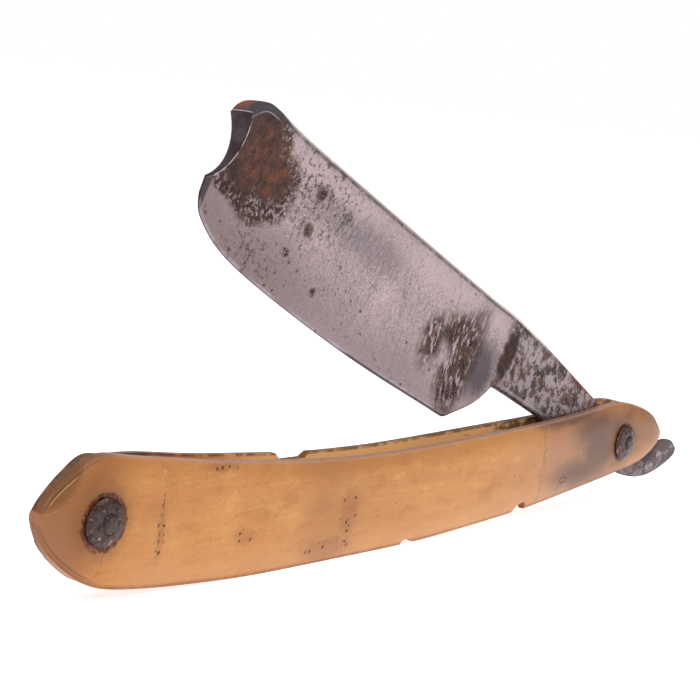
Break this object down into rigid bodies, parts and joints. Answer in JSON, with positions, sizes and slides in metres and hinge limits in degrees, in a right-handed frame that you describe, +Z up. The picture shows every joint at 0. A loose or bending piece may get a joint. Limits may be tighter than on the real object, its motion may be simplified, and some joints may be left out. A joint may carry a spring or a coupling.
{
  "type": "straight razor",
  "caption": "Folding cut-throat razor: hollow-ground notched blade on a curved tail, pinned between two bowed horn scales with a wedge at the butt.",
  "frame": {"origin": "middle of the box that holds the razor, on the flat belly of the scales that it stands on", "axes": "+X along the handle towards the pivot and tail, -X towards the wedge end, +Y along the pins towards the back scale, +Z up"},
  "size_m": [0.1599, 0.0094, 0.061],
  "materials": {
    "horn": "satin, translucent blond horn",
    "wedge_horn": "dull dark horn",
    "blade_steel": "satin, pitted and rust stained",
    "pin_iron": "dark rusty iron",
    "collar_iron": "dark rusty iron"
  },
  "bodies": {
    "handle": {"front_scale": "horn", "back_scale": "horn", "wedge": "wedge_horn", "wedge_pin": "pin_iron", "wedge_collar_front": "collar_iron", "wedge_collar_back": "collar_iron", "pivot_pin": "pin_iron", "pivot_collar_front": "collar_iron", "pivot_collar_back": "collar_iron"},
    "blade": {"blade": "blade_steel"}
  },
  "joints": [
    {"name": "blade_pivot", "type": "hinge", "parent": "handle", "child": "blade", "pos_m": [0.0551, 0, 0.0103], "axis": [0, 1, 0], "range_deg": [-18, 285]}
  ]
}
